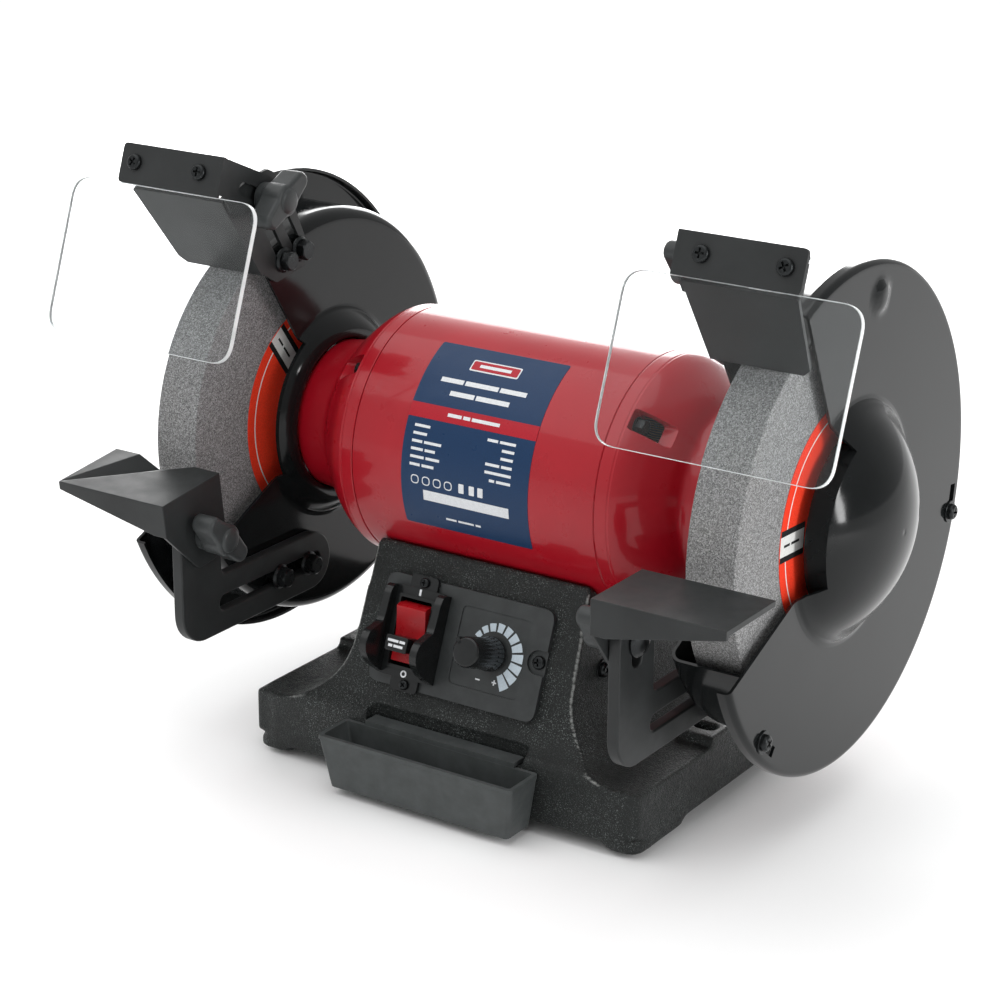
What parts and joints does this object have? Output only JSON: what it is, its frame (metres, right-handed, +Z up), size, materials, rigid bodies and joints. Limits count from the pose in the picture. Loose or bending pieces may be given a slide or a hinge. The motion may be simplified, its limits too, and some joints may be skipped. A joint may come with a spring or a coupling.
{
  "type": "bench grinder",
  "caption": "Bench grinder: a variable-speed motor on a cast base drives a guarded abrasive wheel at each end, with tool rests, spark deflectors, eye shields and a quench tray.",
  "frame": {"origin": "on the bench, under the centre of the machine's outline", "axes": "+X along the spindle to the right-hand wheel as the user sees it, -Y towards the user, +Z up"},
  "size_m": [0.435, 0.271, 0.3062],
  "materials": {
    "cast_paint": "coarse black wrinkle paint on a casting, worn bright on its sharp edges",
    "red_paint": "gloss red enamel",
    "black_steel": "satin black powder coat",
    "black_guard": "smooth semi-gloss black paint on pressed sheet",
    "black_plastic": "fine matt moulded plastic",
    "red_plastic": "smooth moulded plastic",
    "rubber": "matt rubber",
    "machined_steel": "turned bright steel",
    "lamination_steel": "stacked steel sheet",
    "dark_steel": "black oxide",
    "copper": "enamelled copper wire",
    "abrasive": "grey vitrified abrasive grain",
    "clear_plastic": "clear polycarbonate sheet",
    "circuit_board": "green circuit board",
    "aluminium_can": "drawn aluminium can"
  },
  "bodies": {
    "frame": {"base_casting": "cast_paint", "bottom_cover": "black_steel", "control_plate": "black_plastic", "switch_housing": "black_plastic", "speed_control_board": "circuit_board", "capacitor": "aluminium_can", "cable_gland": "rubber", "motor_shell": "red_paint", "stator_core": "lamination_steel", "stator_winding": "copper", "front_right_foot": "rubber", "front_left_foot": "rubber", "rear_right_foot": "rubber", "rear_left_foot": "rubber", "left_end_bell": "red_paint", "right_end_bell": "red_paint", "left_bearing": "machined_steel", "right_bearing": "machined_steel", "left_guard_shell": "black_guard", "right_guard_shell": "black_guard", "left_guard_cover": "black_guard", "right_guard_cover": "black_guard", "left_deflector_bolt_1": "dark_steel", "right_deflector_bolt_1": "dark_steel", "left_deflector_bolt_2": "dark_steel", "right_deflector_bolt_2": "dark_steel", "left_bracket_bolt_1": "dark_steel", "right_bracket_bolt_1": "dark_steel", "left_bracket_bolt_2": "dark_steel", "right_bracket_bolt_2": "dark_steel"},
    "spindle": {"shaft": "machined_steel", "rotor_core": "machined_steel", "left_grinding_wheel": "abrasive", "left_inner_flange": "machined_steel", "left_outer_flange": "machined_steel", "left_arbor_nut": "dark_steel", "right_grinding_wheel": "abrasive", "right_inner_flange": "machined_steel", "right_outer_flange": "machined_steel", "right_arbor_nut": "dark_steel"},
    "rocker": {"power_rocker": "red_plastic"},
    "key": {"lock_key": "black_plastic"},
    "dial": {"speed_knob": "black_plastic"},
    "tray": {"quench_tray": "black_plastic"},
    "left_deflector": {"left_spark_deflector": "black_steel"},
    "left_shield": {"left_shield_bracket": "black_steel", "left_eye_shield": "clear_plastic"},
    "left_shield_clamp": {"left_shield_knob": "black_plastic"},
    "left_rest_slider": {"left_rest_bracket": "black_steel"},
    "left_rest_pivot": {"left_rest_bolt": "dark_steel"},
    "left_rest": {"left_tool_rest": "black_steel"},
    "left_rest_clamp": {"left_rest_knob": "black_plastic"},
    "right_deflector": {"right_spark_deflector": "black_steel"},
    "right_shield": {"right_shield_bracket": "black_steel", "right_eye_shield": "clear_plastic"},
    "right_shield_clamp": {"right_shield_knob": "black_plastic"},
    "right_rest_slider": {"right_rest_bracket": "black_steel"},
    "right_rest_pivot": {"right_rest_bolt": "dark_steel"},
    "right_rest": {"right_tool_rest": "black_steel"},
    "right_rest_clamp": {"right_rest_knob": "black_plastic"}
  },
  "joints": [
    {"name": "spindle_spin", "type": "hinge", "parent": "frame", "child": "spindle", "pos_m": [0, 0.013, 0.156], "axis": [1, 0, 0], "continuous": true},
    {"name": "power_switch", "type": "hinge", "parent": "frame", "child": "rocker", "pos_m": [-0.028, -0.05461, 0.076], "axis": [1, 0, 0], "range_deg": [-16, 0]},
    {"name": "key_pull", "type": "slide", "parent": "rocker", "child": "key", "axis": [0, -0.9317, 0.3633], "range_m": [0, 0.02]},
    {"name": "speed_dial", "type": "hinge", "parent": "frame", "child": "dial", "pos_m": [0.018, -0.05461, 0.076], "axis": [0, -0.9317, 0.3633], "range_deg": [-180, 90]},
    {"name": "tray_lift", "type": "slide", "parent": "frame", "child": "tray", "axis": [0, 0, 1], "range_m": [0, 0.009]},
    {"name": "left_deflector_slide", "type": "slide", "parent": "frame", "child": "left_deflector", "axis": [0, 0.5201, -0.8541], "range_m": [-0.0025, 0.003]},
    {"name": "left_shield_tilt", "type": "hinge", "parent": "left_deflector", "child": "left_shield", "pos_m": [-0.126, -0.047, 0.2815], "axis": [1, 0, 0], "range_deg": [-75, 12]},
    {"name": "left_shield_knob_turn", "type": "hinge", "parent": "left_deflector", "child": "left_shield_clamp", "pos_m": [-0.126, -0.047, 0.2815], "axis": [1, 0, 0], "range_deg": [0, 540]},
    {"name": "left_rest_slide", "type": "slide", "parent": "frame", "child": "left_rest_slider", "axis": [0, 1, 0], "range_m": [-0.006, 0.0015]},
    {"name": "left_rest_height", "type": "slide", "parent": "left_rest_slider", "child": "left_rest_pivot", "axis": [0, 0, 1], "range_m": [-0.002, 0.0085]},
    {"name": "left_rest_tilt", "type": "hinge", "parent": "left_rest_pivot", "child": "left_rest", "pos_m": [-0.126, -0.1042, 0.124], "axis": [1, 0, 0], "range_deg": [-10, 28]},
    {"name": "left_rest_knob_turn", "type": "hinge", "parent": "left_rest_pivot", "child": "left_rest_clamp", "pos_m": [-0.126, -0.1042, 0.124], "axis": [1, 0, 0], "range_deg": [0, 540]},
    {"name": "right_deflector_slide", "type": "slide", "parent": "frame", "child": "right_deflector", "axis": [0, 0.5201, -0.8541], "range_m": [-0.0025, 0.003]},
    {"name": "right_shield_tilt", "type": "hinge", "parent": "right_deflector", "child": "right_shield", "pos_m": [0.126, -0.047, 0.2815], "axis": [1, 0, 0], "range_deg": [-75, 12]},
    {"name": "right_shield_knob_turn", "type": "hinge", "parent": "right_deflector", "child": "right_shield_clamp", "pos_m": [0.126, -0.047, 0.2815], "axis": [1, 0, 0], "range_deg": [-540, 0]},
    {"name": "right_rest_slide", "type": "slide", "parent": "frame", "child": "right_rest_slider", "axis": [0, 1, 0], "range_m": [-0.002, 0.0025]},
    {"name": "right_rest_height", "type": "slide", "parent": "right_rest_slider", "child": "right_rest_pivot", "axis": [0, 0, 1], "range_m": [-0.006, 0.0045]},
    {"name": "right_rest_tilt", "type": "hinge", "parent": "right_rest_pivot", "child": "right_rest", "pos_m": [0.126, -0.1082, 0.128], "axis": [1, 0, 0], "range_deg": [-3, 35]},
    {"name": "right_rest_knob_turn", "type": "hinge", "parent": "right_rest_pivot", "child": "right_rest_clamp", "pos_m": [0.126, -0.1082, 0.128], "axis": [1, 0, 0], "range_deg": [-540, 0]}
  ]
}
